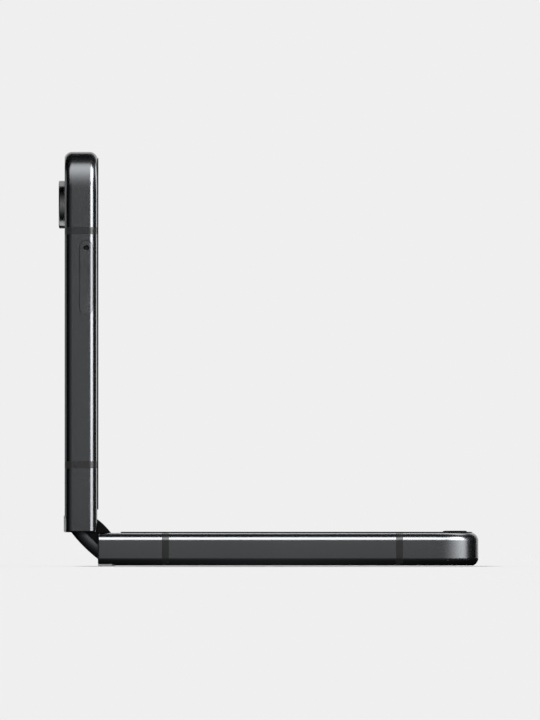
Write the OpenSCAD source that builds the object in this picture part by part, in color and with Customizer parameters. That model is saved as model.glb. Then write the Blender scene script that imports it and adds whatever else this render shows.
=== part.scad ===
// Flip phone with a folding screen, standing open at a right angle.
// One half lies on its back along +X, the other stands up along +Z, and the fold runs along Y.
// The origin is at the middle of the underside of the box round the phone. All sizes are millimetres.

/* [Halves] */
// Length of each half, from its fold end to its far end
half_len = 82.4; // [81:0.1:86]
// Width of the phone, along the fold
width = 71.9; // [70:0.1:76]
// Thickness of a half, from its inner face to its back
thick = 7.06; // [6.9:0.01:7.3]
// Radius of the two far corners, seen from the front
corner_r = 10; // [8:0.5:12]
// Radius of the rounding along the sides
edge_r = 1.8; // [1.75:0.01:1.9]
// Wall of the metal frame
wall = 1.95; // [1.9:0.01:2.1]
// Height of the raised rim round the screen
rim_h = 0.24; // [0.15:0.01:0.3]
// Where the raised rim starts, measured from the fold end
rim_start = 5; // [4.9:0.1:6]
// Height of the metal strip at the fold end above the back glass
lip_h = 0.19; // [0.1:0.01:0.25]
// Length of the metal strip at the fold end
lip_len = 3.6; // [3:0.1:4]

/* [Hinge] */
// Distance of each hinge shaft below the inner face of its half
shaft_depth = 2.339; // [2.3:0.001:2.4]
// Distance of each hinge shaft from the fold end, with the phone open at a right angle
shaft_in = 1.761; // [1.74:0.001:1.8]
// How far a half slides along its hinge arms between a right angle and fully shut
slide_travel = 1.028; // [1:0.001:1.05]
// Distance from the middle of the fold to the corner of a half, at a right angle
end_off = 0.064; // [0.05:0.001:0.08]
// Diameter of a hinge shaft
shaft_d = 1; // [0.9:0.05:1.1]
// Number of teeth on each hinge gear
gear_teeth = 14; // [12:1:16]
// Distance of each hinge module from the middle of the phone
module_y = 22; // [20:0.5:23]
// Half the width of the metal spine
spine_half_w = 6; // [5.8:0.05:6.1]
// Radius of the gentle bulge of the spine
spine_bulge_r = 33; // [30:1:40]
// Length of the metal spine
spine_len = 68.5; // [66:0.1:69]

/* [Side parts] */
// Length of the card tray's face
tray_len = 15.9; // [14:0.1:17]
// Height of the card tray's face
tray_h = 2.81; // [2.4:0.01:2.9]
// Distance of the card tray's middle from the fold end
tray_at = 55.05; // [50:0.05:60]
// Length of the volume rocker
volume_len = 19; // [16:0.5:20]
// Distance of the volume rocker's middle from the fold end
volume_at = 53.5; // [52.5:0.5:54]
// Length of the side key
side_key_len = 12.5; // [10:0.5:14]
// Distance of the side key's middle from the fold end
side_key_at = 34.5; // [32:0.5:36]
// Height of both keys
key_h = 2.3; // [2:0.1:2.5]
// Width of an antenna band
band_w = 1.53; // [1.2:0.01:1.8]

/* [Cameras] */
// Outer diameter of a camera ring
ring_d = 10.28; // [9.5:0.01:11]
// How far a camera ring stands off the back
ring_h = 1.36; // [1:0.01:1.6]
// Distance of the camera rings from the far end and of the outer one from the side
ring_in = 10.85; // [10:0.05:12]
// Distance between the two camera rings
ring_gap = 13.4; // [12:0.1:15]

/* [Hidden] */
$fn = 64;

// The middle of the fold: the phone's box is centred over the origin and stands on z = 0
fold_x = -(half_len - thick - ring_h) / 2;
fold_z = end_off + thick + lip_h;

// Edge rounding: how far it runs down from the inner face and up from the back
front_drop = 1.7;
back_drop = 1.65;
end_round = 0.35;
big = 200;

// Layers of a half, as depths below its inner face
screen_top = 0.05;
screen_t = 0.75;
shelf = 0.85;
shelf_t = 0.8;
room_top = shelf + shelf_t;
glass_t = 0.6;
glass_top = thick - glass_t;
glass_inset = 1.3;
fit = 0.05;

// Cavity that swallows the spine
skin = 1.2;
cavity_len = 7;
cavity_floor = 6.33;
divider_t = 0.8;
cap_cut = 4.7;

// Raised rim
rim_inset = 1.3;
rim_w = 1.9;

// Hinge: places of the shafts in the spine's own axes, u up into the fold and v across it
corner_v = end_off * sqrt(2);
shaft_u = (shaft_in - shaft_depth) / sqrt(2);
shaft_v = corner_v + (shaft_in + shaft_depth) / sqrt(2);
gear_r = 1.18;
gear_w = 1.5;
gear_mod = 2 * gear_r / gear_teeth;
idler_u = shaft_u - sqrt(pow(2 * gear_r, 2) - pow(shaft_v - gear_r, 2));
idler_angle = atan2(shaft_u - idler_u, shaft_v - gear_r);
idler_pin_r = 0.4;
tooth_play = 0.03;
knuckle_r = 1.12;
knuckle_w = 4;
run = 0.03;

// Spine: outer face, seam and pocket, as heights in the spine's own axes
spine_out = -4.25;
spine_seam = -1.79;
spine_lip = -1.3;
spine_floor = -3.45;
spine_round = 2.2;
spine_wall = 0.8;
cap_half_w = 4.6;
cap_top = 2.17;
cap_bulge_r = 13.6;

// Arms and brackets
arm_top = 1.95;
arm_t = 0.8;
arm_end = 12;
arm_half_w = 4.6;
pin_at = 9.5;
wing_top = 0.95;
wing_t = 0.3;
wing_from = 1.2;
wing_to = 5.85;
wing_half = 32.9;

// Fold of the screen at a right angle
fold_r = 1.524;
flat_from = 7.15;
fold_half = 32.9;

graphite = "#3b3d40";
black = "#141517";
steel = "#b9bcc0";

// Puts a part drawn lying down, fold end at x = 0 and inner face at z = 0, into the lying half
module on_lower() translate([fold_x + end_off, 0, fold_z - end_off]) children();

// Puts the same drawing into the standing half
module on_upper() translate([fold_x - end_off, 0, fold_z + end_off]) mirror([1, 0, -1]) children();

// Puts a part drawn in the spine's axes, x across the fold and z up into it, in its place
module on_spine() translate([fold_x, 0, fold_z]) rotate([0, 45, 0]) children();

// Extrudes an outline in X and Z from y0 to y1
module across(y0, y1) translate([0, y1, 0]) rotate([90, 0, 0]) linear_extrude(y1 - y0) children();

// Extrudes an outline in Y and Z from x0 to x1
module along(x0, x1) translate([x0, 0, 0]) rotate([90, 0, 90]) linear_extrude(x1 - x0) children();

// Both sides of the phone
module both_sides() for (side = [0, 1]) mirror([0, side, 0]) children();

// Both hinge modules; inside, y = 0 is the middle of the module and +y points to the phone's side
module both_modules() both_sides() translate([0, module_y, 0]) children();

// An outline with round ends, its length along X
module pill(len, h) {
    square([len - h, h], center = true);
    for (end = [-1, 1]) translate([end * (len - h) / 2, 0]) circle(d = h);
}

// A rectangle with round corners about its middle
module soft_rect(len, w, r) {
    square([len - 2 * r, w], center = true);
    square([len, w - 2 * r], center = true);
    for (i = [-1, 1], j = [-1, 1]) translate([i * (len / 2 - r), j * (w / 2 - r)]) circle(r);
}

// A flat block with round corners, from depth t0 to depth t1 below the inner face
module slab(x, y, len, w, t0, t1, r = 1)
    translate([x, y, -t1]) linear_extrude(t1 - t0) soft_rect(len, w, r);

// The material that a sharp outside corner loses when it is rounded, corner at the origin
module corner_waste(r) difference() {
    translate([-1, -1]) square(r + 1);
    translate([r, r]) circle(r);
    translate([r, -2]) square(3);
    translate([-2, r]) square(3);
}

// Plan of a half, held back from its outline by inset, starting at x = start
module plan(inset, start) {
    r = corner_r - inset;
    translate([start, -width / 2 + inset]) square([half_len - corner_r - start, width - 2 * inset]);
    translate([half_len - corner_r - 1, -width / 2 + corner_r])
        square([r + 1, width - 2 * corner_r]);
    for (side = [-1, 1]) translate([half_len - corner_r, side * (width / 2 - corner_r)]) circle(r);
}

// Runs a cross-section round the two sides and the far end of a half. It is drawn with the
// inset from the outside along X and the height above the inner face along Y.
module around(start) {
    both_sides() {
        translate([0, width / 2, 0]) along(start, half_len - corner_r) mirror([1, 0]) children();
        translate([half_len - corner_r, width / 2 - corner_r, 0])
            rotate_extrude(angle = 90) translate([corner_r, 0]) mirror([1, 0]) children();
    }
    translate([half_len, 0, 0]) across(-width / 2 + corner_r, width / 2 - corner_r)
        mirror([1, 0]) children();
}

// Side of a half cut across: flat in the middle, rounded to the inner face and to the back
module edge_section(reach) difference() {
    translate([0, -thick]) square([reach, thick]);
    translate([0, -front_drop]) difference() {
        square([edge_r, front_drop + 1]);
        translate([edge_r, 0]) circle(edge_r);
        translate([edge_r - 0.3, 0]) square([1, front_drop]);
    }
    translate([0, -thick + back_drop]) difference() {
        translate([0, -back_drop - 1]) square([edge_r, back_drop + 1]);
        translate([edge_r, 0]) circle(edge_r);
        translate([edge_r - 0.3, -back_drop]) square([1, back_drop]);
    }
}

// Frame wall cut across, with the seat of the back glass
module wall_section() difference() {
    edge_section(wall);
    translate([glass_inset, -thick - 1]) square([wall, glass_t + 1]);
}

// Centres of the antenna bands, from the fold end
bands = [14.6, half_len - 17.2];

// Metal frame that both halves share: wall, screen shelf, divider and fold-end strip
module frame_body() difference() {
    union() {
        around(0) wall_section();
        translate([0, 0, -room_top]) linear_extrude(shelf_t) plan(wall - 0.1, cavity_len);
        translate([cavity_len, -width / 2 + 1, -glass_top])
            cube([divider_t, width - 2, glass_top - room_top + 0.1]);
        translate([0, -width / 2 + 1, -thick]) cube([lip_len, width - 2, thick - cavity_floor]);
        translate([0, 0, -thick - lip_h]) linear_extrude(lip_h + 0.1) difference() {
            translate([0, -width / 2 + 1.2]) square([lip_len, width - 2.4]);
            for (side = [-1, 1]) translate([lip_len, side * (width / 2 - 1.2)])
                rotate(side > 0 ? 180 : 90) corner_waste(0.8);
        }
    }
    // room for the fold end caps beside the screen
    translate([-1, -width / 2 + skin, -cavity_floor])
        cube([cap_cut + 1, width - 2 * skin, cavity_floor + 1]);
    // room for the spine
    translate([-1, -width / 2 + skin, -cavity_floor])
        cube([cavity_len + 1, width - 2 * skin, cavity_floor - shelf]);
    // the outer ends of the fold end are softened
    across(-width, width) corner_cut_pair();
    both_sides() translate([0, -width / 2, -big / 2]) linear_extrude(big) corner_waste(end_round);
    // windows for the hinge arms and for the flex cables
    both_modules() translate([cavity_len - 1, -6.2, -3.5]) cube([divider_t + 2, 12.4, 3.5 - room_top]);
    translate([cavity_len - 1, -7, -4.2]) cube([divider_t + 2, 14, 1.6]);
    // slots for the antenna bands
    for (at = bands) both_sides() translate([at - band_w / 2, width / 2 - glass_inset, -thick - 1])
        cube([band_w, 5, thick + 2]);
}

// Rounding of the fold end at the inner face and at the back strip
module corner_cut_pair() {
    translate([0, -thick - lip_h]) corner_waste(end_round);
    mirror([0, 1]) corner_waste(end_round);
}

// Plastic bands that part the metal wall for the antennas
module bands_body() for (at = bands) both_sides() translate([0, width / 2, 0])
    along(at - band_w / 2, at + band_w / 2) mirror([1, 0]) edge_section(glass_inset);

// Raised rim cut across, with softened top edges
module rim_section() translate([rim_inset, 0]) difference() {
    square([rim_w, rim_h]);
    translate([0, rim_h]) mirror([0, 1]) corner_waste(0.12);
    translate([rim_w, rim_h]) rotate(180) corner_waste(0.12);
}

// Flat part of the folding screen that a half carries
module flat_display_body() translate([0, 0, -screen_top - screen_t])
    linear_extrude(screen_t) plan(wall + 0.1, flat_from);

// Back glass, held in the frame's seat
module back_glass_body() translate([0, 0, -thick]) linear_extrude(glass_t)
    plan(glass_inset + fit, lip_len + fit);

// Bracket under the screen shelf in which a hinge arm slides, with its guide pin
module bracket_body() both_modules() {
    difference() {
        translate([cavity_len + divider_t + 0.1, -8.2, -3.4]) cube([6.2, 16.4, 3.4 - room_top]);
        translate([cavity_len, -arm_half_w - 0.1, -arm_top - arm_t - 0.06])
            cube([10, 2 * arm_half_w + 0.2, arm_t + 2]);
        for (side = [-1, 1]) translate([11, side * 6.5, -3.5]) cylinder(d = 1.3, h = 3);
    }
    translate([pin_at, 0, -3.4]) cylinder(r = 0.6, h = 3.4 - room_top);
}

// Screws that hold the brackets, two for each
module bracket_screws() both_modules() for (side = [-1, 1]) translate([11, side * 6.5, -3.4])
    screw(1.3, 1.2, 3.4 - room_top);

// A small screw with its head below z = 0 and its shank above it
module screw(head_r, shank_d, len) {
    difference() {
        translate([0, 0, -0.5]) cylinder(r1 = head_r * 0.8, r2 = head_r, h = 0.5);
        for (turn = [0, 90]) rotate(turn) translate([-head_r * 0.55, -0.15, -1]) cube([head_r * 1.1, 0.3, 0.75]);
    }
    cylinder(d = shank_d, h = len);
}

// Outline of one hinge gear: involute flanks, one tooth centred on the angle phase
function involute(a) = tan(a) * 180 / PI - a;
function flank(r) = 90 / gear_teeth - tooth_play / gear_r * 45 / PI + involute(20)
    - involute(acos(min(1, gear_r * cos(20) / r)));
root_r = gear_r - 1.2 * gear_mod;
tip_r = gear_r + 0.92 * gear_mod;
mid_r = gear_r * 0.97;
function gear_points(phase) = [
    for (i = [0 : gear_teeth - 1], p = [
        [root_r, -flank(gear_r * 0.945)], [mid_r, -flank(mid_r)], [tip_r, -flank(tip_r)],
        [tip_r, flank(tip_r)], [mid_r, flank(mid_r)], [root_r, flank(gear_r * 0.945)]
    ])
    let (a = phase + i * 360 / gear_teeth + p[1]) [p[0] * cos(a), p[0] * sin(a)]
];
module gear_outline(phase) polygon(gear_points(phase));

// Phases that let the four gears of a module mesh with the phone open at a right angle
half_pitch = 180 / gear_teeth;
idler_phase = [180, half_pitch];
arm_phase = [2 * idler_angle + half_pitch, 180 - 2 * idler_angle];

// Hinge arm of a half: knuckle on the shaft and a plate that slides in the bracket
module arm_body() both_modules() difference() {
    union() {
        translate([shaft_in, 0, -shaft_depth]) across(-knuckle_w / 2, knuckle_w / 2) circle(knuckle_r);
        translate([shaft_in, -knuckle_w / 2, -arm_top - arm_t]) cube([4, knuckle_w, arm_t]);
        translate([0, 0, -arm_top - arm_t]) linear_extrude(arm_t) difference() {
            translate([(4 + arm_end) / 2, 0]) soft_rect(arm_end - 4, 2 * arm_half_w, 0.8);
            translate([pin_at, 0]) pill(2 * slide_travel + 1.4, 1.36);
        }
        translate([4.2, -4, -arm_top - 0.1]) cube([1.5, 8, arm_top - wing_top - wing_t + 0.1]);
    }
    translate([shaft_in, 0, -shaft_depth]) across(-5, 5) circle(d = shaft_d + 2 * run);
}

// The arm's gear, beside its knuckle, drawn in the spine's axes; side is 1 below, -1 above
module arm_gears(side) both_modules() translate([side * shaft_v, 0, shaft_u])
    across(knuckle_w / 2, knuckle_w / 2 + gear_w) difference() {
        gear_outline(arm_phase[side > 0 ? 0 : 1]);
        circle(d = shaft_d + 2 * run);
    }

// Idler gears of a half with their pins
module idlers(side) both_modules() translate([side * gear_r, 0, idler_u]) {
    across(knuckle_w / 2 + 0.05, knuckle_w / 2 + gear_w - 0.05)
        gear_outline(idler_phase[side > 0 ? 0 : 1]);
    across(-3.2, 4.4) circle(idler_pin_r);
}

// Plate under the bending part of the screen, carried by the arms of a half
module wing_body() translate([0, 0, -wing_top - wing_t]) linear_extrude(wing_t) difference() {
    translate([wing_from, -wing_half]) square([wing_to - wing_from, 2 * wing_half]);
    for (side = [0, 1]) mirror([0, side]) translate([0, module_y - 7.2]) square([3.9, 12.8]);
}

module lower_frame() color(graphite) on_lower() difference() {
    frame_body();
    usb_cut();
    // loudspeaker slots and microphone hole in the far end
    for (i = [0 : 4]) translate([half_len - 4, 14 + i * 2.6, -thick / 2]) rotate([0, 90, 0])
        rotate(90) linear_extrude(6) pill(1.7, 1.1);
    translate([half_len - 4, -10, -thick / 2]) rotate([0, 90, 0]) cylinder(d = 0.9, h = 6);
}

// Opening of the charging socket
usb_w = 8.34;
usb_h = 2.56;
module usb_cut() translate([half_len - 5, 0, -thick / 2]) rotate([90, 0, 90])
    linear_extrude(8) pill(usb_w + 0.6, usb_h + 0.6);

module lower_back_cover() color("#1d1e20") on_lower() back_glass_body();

module lower_bezel() color(black) on_lower() around(rim_start) rim_section();

// Two low rubber domes that keep the shut halves apart, one across each far corner of the rim
bumper_len = 5.6;
bumper_w = 1.5;
bumper_h = 0.35;
bumper_in = 4.7;
bumper_r = (pow(bumper_len / 2, 2) + pow(bumper_h, 2)) / (2 * bumper_h);
module lower_bumpers() color("#0c0c0d") on_lower() both_sides()
    translate([half_len - bumper_in, width / 2 - bumper_in, rim_h]) rotate([0, 0, -45])
        intersection() {
            linear_extrude(1) pill(bumper_len, bumper_w);
            translate([0, 0, bumper_h - bumper_r]) across(-2, 2) circle(bumper_r, $fn = 128);
        }

module lower_antenna_bands() color("#303234") on_lower() bands_body();

module lower_display() color("#050506") on_lower() flat_display_body();

module lower_hinge_brackets() color("#8d9094") on_lower() bracket_body();

module lower_battery() color("#2b2d30") on_lower() {
    slab(38, 0, 44, 62, room_top + 0.05, 5.9, 1.2);
    slab(61.2, -10, 2.4, 14, room_top + 0.05, 3.2, 0.4);
}

// Flat ring of wire for charging without a cable
module charging_coil() color("#9a5b34") on_lower() translate([38, 0, -6.35])
    difference() {
        cylinder(r = 21, h = 0.4);
        translate([0, 0, -1]) cylinder(r = 9, h = 3);
        for (i = [1 : 5]) translate([0, 0, -0.01]) difference() {
            cylinder(r = 9 + i * 2.1, h = 0.16);
            translate([0, 0, -1]) cylinder(r = 9 + i * 2.1 - 0.4, h = 3);
        }
    }

module lower_board() color("#16412f") on_lower() difference() {
    union() {
        slab(71.2, -12, 15, 38, room_top, room_top + 0.7, 0.8);
        slab(67, -22, 5, 8, room_top + 0.65, room_top + 1.9, 0.4);
        slab(67, -8, 4, 10, room_top + 0.65, room_top + 1.6, 0.4);
    }
    translate([half_len - 7.8, -usb_w / 2 - 0.5, -4]) cube([8, usb_w + 1, 4]);
    translate([76, -28.4, -4]) cylinder(d = 1.6, h = 4);
    translate([66, 4, -4]) cylinder(d = 1.6, h = 4);
}

// Charging socket: metal sleeve, closed at its back, with its contact tongue
module usb_port() color(steel) on_lower() translate([half_len - 7.6, 0, -thick / 2]) {
    rotate([90, 0, 90]) difference() {
        linear_extrude(7.2) pill(usb_w + 0.5, usb_h + 0.5);
        translate([0, 0, 0.6]) linear_extrude(8) pill(usb_w, usb_h);
    }
    translate([0.5, -3.3, -0.35]) cube([5, 6.6, 0.7]);
}

module loudspeaker() color("#1b1c1e") on_lower() difference() {
    slab(70.2, 20.2, 16, 21.6, room_top, 5.9, 1.5);
    slab(68.5, 20.2, 8, 13, 5.4, 7, 2);
    for (i = [0 : 4]) translate([77.4, 14 + i * 2.6, -thick / 2]) cube([3, 1.4, 0.9], center = true);
}

module lower_screws() color("#c2c5c9") on_lower() {
    bracket_screws();
    translate([76, -28.4, -room_top - 0.7]) screw(1.4, 1.4, 0.7);
    translate([66, 4, -room_top - 0.7]) screw(1.4, 1.4, 0.7);
}

// Magnets that hold the phone shut, against the side walls
magnet_at = half_len - 14.9;
module magnet_pair() both_sides() translate([magnet_at, width / 2 - wall - 1, -5])
    linear_extrude(5 - room_top) soft_rect(3, 1.8, 0.3);

module lower_magnets() color("#a9acb0") on_lower() magnet_pair();

module upper_magnets() color("#a9acb0") on_upper() magnet_pair();

module lower_hinge_arms() color("#9b9ea2") {
    on_lower() arm_body();
    on_spine() arm_gears(1);
}

module upper_hinge_arms() color("#9b9ea2") {
    on_upper() arm_body();
    on_spine() arm_gears(-1);
}

module lower_wing_plate() color("#6d7074") on_lower() wing_body();

module upper_wing_plate() color("#6d7074") on_upper() wing_body();

// Spine cut across: a shallow bulge, round shoulders and straight walls
module spine_outline(grow, top) intersection() {
    translate([-spine_half_w - grow, spine_out - 1])
        square([2 * (spine_half_w + grow), top - spine_out + 1]);
    translate([0, spine_out + spine_bulge_r]) circle(spine_bulge_r + grow, $fn = 128);
    union() {
        translate([-big / 2, shoulder_u]) square([big, 20]);
        translate([-spine_half_w + spine_round, spine_out - 1])
            square([2 * (spine_half_w - spine_round), 20]);
        for (side = [-1, 1]) translate([side * (spine_half_w - spine_round), shoulder_u])
            circle(spine_round + grow);
    }
}
shoulder_u = spine_out + spine_bulge_r
    - sqrt(pow(spine_bulge_r - spine_round, 2) - pow(spine_half_w - spine_round, 2));

// Curved metal cover over the fold, a trough closed at its two ends
module spine_cover() color("#2c2e31") on_spine() difference() {
    across(-spine_len / 2, spine_len / 2) spine_outline(0, spine_lip);
    across(-spine_len / 2 + 1, spine_len / 2 - 1) difference() {
        translate([-spine_half_w + spine_wall, spine_floor])
            square([2 * (spine_half_w - spine_wall), 10]);
        for (side = [0, 1]) mirror([side, 0])
            translate([-spine_half_w + spine_wall, spine_floor]) corner_waste(1.2);
    }
    both_sides() translate([-big / 2, spine_len / 2 - 1.1, spine_seam]) cube([big, 5, 5]);
    // thread holes for the module screws
    both_modules() for (side = [-1, 1]) translate([side * 3, -5.4, spine_floor - 0.35])
        cylinder(d = 0.9, h = 2);
}

// Hinge housing: two walls with the shaft bores on a base plate
base_top = -1.35;
boss_r = 0.95;
module base_wall() {
    translate([-4, spine_floor]) square([8, base_top - spine_floor]);
    for (side = [-1, 1]) translate([side * shaft_v, shaft_u]) {
        circle(boss_r);
        translate([-boss_r, base_top - shaft_u - 0.5]) square([2 * boss_r, shaft_u - base_top + 0.5]);
    }
}
module shaft_holes(r) for (side = [-1, 1]) translate([side * shaft_v, shaft_u]) circle(r);
module pin_holes(r) for (side = [-1, 1]) translate([side * gear_r, idler_u]) circle(r);
module hinge_bases() color("#77797d") on_spine() both_modules() difference() {
    union() {
        across(3.75, 4.8) base_wall();
        across(-3.6, -2.4) base_wall();
        translate([-4, -7, spine_floor]) cube([8, 11.8, 0.4]);
    }
    across(-8, 8) shaft_holes(shaft_d / 2);
    across(-8, 8) pin_holes(idler_pin_r + run);
    translate([-2.8, 1.9, spine_floor - 1]) cube([5.6, 1.8, 2]);
    for (side = [-1, 1]) translate([side * 3, -5.4, spine_floor - 1]) cylinder(d = 1, h = 3);
}

// Hinge shafts, headed at the gear end, with a nut that loads the springs
module hinge_shafts() color("#d0d2d5") on_spine() both_modules() for (side = [-1, 1])
    translate([side * shaft_v, 0, shaft_u]) {
        across(-6.6, 5.2) circle(d = shaft_d);
        across(4.8, 5.3) circle(0.85);
        across(-6.4, -5.7) circle(1.05, $fn = 6);
    }

// Disc springs on the shafts that give the hinge its drag, and the thrust washers
spring_n = 5;
spring_step = 0.4;
module torque_springs() color("#8f7a52") on_spine() both_modules() for (side = [-1, 1])
    translate([side * shaft_v, 0, shaft_u]) {
        for (i = [0 : spring_n - 1]) translate([0, -3.62 - i * spring_step, 0]) rotate([90, 0, 0])
            disc_spring(i % 2);
        across(-2.38, -2.08) difference() {
            circle(1.05);
            circle(shaft_d / 2);
        }
    }
module disc_spring(flip) translate([0, 0, flip * 0.36]) mirror([0, 0, flip])
    rotate_extrude() polygon([
        [shaft_d / 2, 0], [1.1, 0.16], [1.1, 0.36], [shaft_d / 2, 0.2]
    ]);

// Black end caps that close the fold beside the screen
module fold_end_caps() color("#0b0b0c") on_spine() both_sides()
    across(spine_len / 2 - 1.05, spine_len / 2 + 0.3) intersection() {
        translate([-cap_half_w, spine_seam]) square([2 * cap_half_w, cap_top - spine_seam]);
        translate([0, cap_top - cap_bulge_r]) circle(cap_bulge_r, $fn = 128);
    }

// Rail that ties the two hinge housings together under the screen
module spine_rail() color("#5c5f63") on_spine() difference() {
    translate([-1.2, -module_y + 4.8 + 0.2, -2.6]) cube([2.4, 2 * module_y - 10, 0.7]);
    for (i = [-3 : 3]) translate([0, i * 4.6, -3]) cylinder(d = 1.2, h = 2);
}

module spine_screws() color("#c2c5c9") on_spine() both_modules() for (side = [-1, 1])
    translate([side * 3, -5.4, spine_floor + 0.4]) rotate([180, 0, 0]) screw(0.75, 0.9, 0.6);

// Bending part of the screen: it follows both halves and turns round in the fold
module fold_quarter(c, r) difference() {
    translate([c - r, c - r]) square(40);
    translate([c - r, c - r]) corner_waste(r);
}
module fold_strip(r0, r1, reach) {
    c = r0 - screen_top - end_off;
    intersection() {
        difference() {
            fold_quarter(c, r1);
            fold_quarter(c, r0);
        }
        translate([c - r1, c - r1]) square(reach + end_off - c + r1);
    }
}
module display_fold() color("#050506") translate([fold_x, 0, fold_z])
    across(-fold_half, fold_half) fold_strip(fold_r, fold_r + screen_t, flat_from - 0.05);

// Flex cables that join the two boards through the spine
flex_r = 3.2;
flex_t = 0.15;
flex_reach = 14;
module fold_flex_cables() color("#8a5a20") translate([fold_x, 0, fold_z])
    for (side = [-1, 1]) across(side * 3.4 - 2.6, side * 3.4 + 2.6) intersection() {
        difference() {
            fold_quarter(0, flex_r + flex_t);
            fold_quarter(0, flex_r);
        }
        translate([-flex_r - flex_t, -flex_r - flex_t]) square(flex_reach + flex_r);
    }

module lower_idler_gears() color("#b4b7bb") on_spine() idlers(1);

module upper_idler_gears() color("#b4b7bb") on_spine() idlers(-1);

// Places of the two cameras in the standing half
cam_x = half_len - ring_in;
cams = [width / 2 - ring_in, width / 2 - ring_in - ring_gap];
front_cam_x = half_len - 6.4;

module upper_frame() color(graphite) on_upper() difference() {
    frame_body();
    // card tray: seat of its face and the slot behind it
    translate([tray_at, 0, -tray_t]) {
        across(-width / 2 - 1, -width / 2 + tray_face + 0.05) pill(tray_len + 0.12, tray_h + 0.12);
        across(-width / 2, -width / 2 + wall + 1) square([14.5, 1.25], center = true);
    }
    // keys
    translate([volume_at, 0, -key_t]) across(width / 2 - wall - 1, width / 2 + 1)
        pill(volume_len + 0.24, key_h + 0.24);
    translate([side_key_at, 0, -key_t]) across(width / 2 - wall - 1, width / 2 + 1)
        pill(side_key_len + 0.2, key_h + 0.2);
    // front camera, earpiece slit and top microphone
    translate([front_cam_x, 0, -3]) cylinder(d = 4.2, h = 4);
    translate([half_len - 2.6, -5, -room_top - 0.5]) cube([1.2, 10, 3]);
    translate([half_len - 4, -20, -thick / 2]) rotate([0, 90, 0]) cylinder(d = 0.9, h = 6);
}

module upper_back_cover() color("#121314") on_upper() difference() {
    back_glass_body();
    for (y = cams) translate([cam_x, y, -thick - 1]) cylinder(d = ring_d + 2 * fit, h = 4);
    translate([cam_x, flash_y, -thick - 1]) cylinder(d = 3.1, h = 4);
}
flash_y = cams[1] - 9.4;

// Second screen under the back glass
module cover_display() color("#08080a") on_upper() translate([0, 0, -glass_top])
    linear_extrude(0.5) difference() {
        translate([37.5, -4.5]) soft_rect(55, 55, 3);
        translate([cam_x - 8, cams[1] - 14.5]) square([40, 60]);
    }

module upper_bezel() color(black) on_upper() difference() {
    around(rim_start) rim_section();
    translate([half_len - 2.6, -5, -1]) cube([0.5, 10, 3]);
}

module upper_antenna_bands() color("#303234") on_upper() bands_body();

module upper_display() color("#050506") on_upper() difference() {
    flat_display_body();
    translate([front_cam_x, 0, -2]) cylinder(d = 3.6, h = 4);
}

module upper_hinge_brackets() color("#8d9094") on_upper() bracket_body();

// Metal rings round the two rear cameras
module camera_rings() color("#4a4c50") on_upper() for (y = cams)
    translate([cam_x, y, -glass_top]) rotate([180, 0, 0]) rotate_extrude() polygon([
        [3.75, 0], [ring_d / 2, 0], [ring_d / 2, glass_t + ring_h - 0.25],
        [ring_d / 2 - 0.25, glass_t + ring_h], [4.1, glass_t + ring_h], [3.75, glass_t + ring_h - 0.3]
    ]);

module camera_lenses() color("#0a0c12") on_upper() for (y = cams)
    translate([cam_x, y, -thick - ring_h + 0.3]) cylinder(r = 3.75, h = 0.7);

// Camera modules: square housing, round barrel and their front element
module camera_modules() color("#1a1b1e") on_upper() for (y = cams) {
    slab(cam_x, y, 10.4, 10.4, 2.6, 5.8, 0.8);
    difference() {
        translate([cam_x, y, -7.4]) cylinder(r = 3.5, h = 2);
        translate([cam_x, y, -8]) cylinder(r1 = 3.6, r2 = 1.3, h = 1.6);
    }
}

module flash_led() color("#e8e2c8") on_upper() translate([cam_x, flash_y, -thick]) {
    cylinder(d = 3, h = glass_t);
    translate([-1.8, -1.8, glass_t]) cube([3.6, 3.6, 0.9]);
}

module main_board() color("#16412f") on_upper() difference() {
    union() {
        slab(71.6, 0, 14.4, 62, room_top, room_top + 0.8, 1);
        slab(56.6, 7, 19, 48, room_top, room_top + 0.8, 1);
    }
    translate([front_cam_x, 0, -4]) cylinder(d = 4.6, h = 4);
    translate([76.2, -28.6, -4]) cylinder(d = 1.6, h = 4);
    translate([50, -13, -4]) cylinder(d = 1.6, h = 4);
    translate([half_len - 3.2, -6.2, -4]) cube([3, 12.4, 4]);
}

// Pressed metal cans over the chips
module board_shields() color("#a7aaae") on_upper() for (place = [[56.5, 20, 15, 18], [56.5, 0, 15, 18], [71, -18, 10, 16]])
    difference() {
        slab(place[0], place[1], place[2], place[3], room_top + 0.8, 4.4, 0.6);
        slab(place[0], place[1], place[2] - 0.5, place[3] - 0.5, room_top + 0.7, 4.2, 0.5);
    }

module upper_battery() color("#2b2d30") on_upper() {
    slab(30.2, -2, 31, 58, room_top + 0.05, 5.7, 1.2);
    slab(46.2, 8, 1.6, 12, room_top + 0.05, 3, 0.3);
}

// Card tray, drawn about the middle of its face
tray_t = 2.4;
tray_face = 1;
tray_deep = 16.5;
module sim_tray() color("#45474a") on_upper() {
    difference() {
        intersection() {
            translate([0, -width / 2, 0]) along(tray_at - 12, tray_at + 12) edge_section(tray_face);
            translate([tray_at, 0, -tray_t]) across(-width / 2 - 1, -width / 2 + tray_face)
                pill(tray_len, tray_h);
        }
        translate([tray_at + 6.45, 0, -tray_t]) across(-width / 2 - 1, -width / 2 + 2) circle(d = 1.1);
    }
    difference() {
        translate([tray_at, 0, -tray_t]) {
            across(-width / 2 + tray_face - 0.05, -width / 2 + 2) square([13.6, 0.7], center = true);
            across(-width / 2 + 1.95, -width / 2 + tray_deep) square([14, 0.9], center = true);
        }
        // card pocket with a ledge all round
        translate([tray_at, -width / 2 + 9.6, -tray_t - 1]) linear_extrude(3) soft_rect(11, 11, 1);
        translate([tray_at, -width / 2 + 9.6, -tray_t - 0.5]) linear_extrude(0.7) soft_rect(12.4, 12.4, 1);
        translate([tray_at + 6.45, 0, -tray_t]) across(-width / 2 - 1, -width / 2 + 2) circle(d = 1.1);
    }
}

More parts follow.
